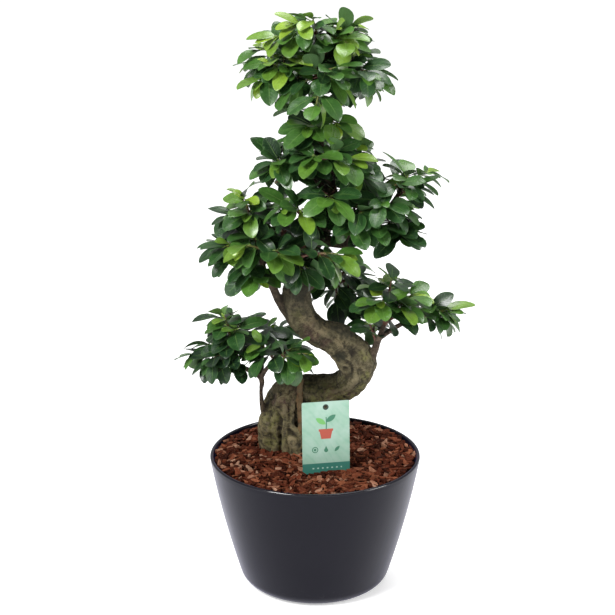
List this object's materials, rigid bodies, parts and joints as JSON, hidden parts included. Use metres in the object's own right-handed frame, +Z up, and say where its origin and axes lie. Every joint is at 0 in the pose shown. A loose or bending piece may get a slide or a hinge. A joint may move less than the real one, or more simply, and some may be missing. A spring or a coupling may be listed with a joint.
{
  "type": "ficus ginseng bonsai in a planter",
  "caption": "Ficus ginseng bonsai: a thick S-shaped trunk on aerial roots with tiers of glossy leaves, in a round tapered planter with bark mulch and a plain plant label.",
  "frame": {"origin": "middle of the planter's flat foot, on the surface that it stands on", "axes": "+Z up along the planter's axis and the tree, -Y towards the viewer who sees the label and the S of the trunk, +X to that viewer's right"},
  "size_m": [0.3666, 0.2694, 0.7256],
  "materials": {
    "planter": "dark anthracite, satin to glossy",
    "soil": "dark potting soil, matte",
    "mulch": "red-brown pine bark chips, matte",
    "bark": "grey-brown bark with olive and tan patches, matte",
    "card": "printed card, satin",
    "leaves": "glossy green leaves on reddish-brown twigs"
  },
  "bodies": {
    "root": {"planter": "planter", "soil": "soil", "bark_mulch": "mulch", "trunk": "bark", "plant_label": "card", "spray_crown_left": "leaves", "spray_crown_right": "leaves", "spray_crown_front": "leaves", "spray_crown_top": "leaves", "spray_crown_back": "leaves", "spray_neck_left": "leaves", "spray_neck_right": "leaves", "spray_up_left": "leaves", "spray_up_front": "leaves", "spray_up_right": "leaves", "spray_up_back": "leaves", "spray_mid_front": "leaves", "spray_left_top": "leaves", "spray_left_far": "leaves", "spray_left_front": "leaves", "spray_left_hang": "leaves", "spray_left_in": "leaves", "spray_left_right": "leaves", "spray_left_back": "leaves", "spray_right_top": "leaves", "spray_right_mid": "leaves", "spray_right_in": "leaves", "spray_right_low": "leaves", "spray_right_back": "leaves", "spray_back": "leaves", "spray_low_right": "leaves", "spray_low_right_out": "leaves", "spray_low_left_out": "leaves", "spray_low_left": "leaves", "spray_low_left_in": "leaves", "spray_low_left_back": "leaves"}
  },
  "joints": []
}
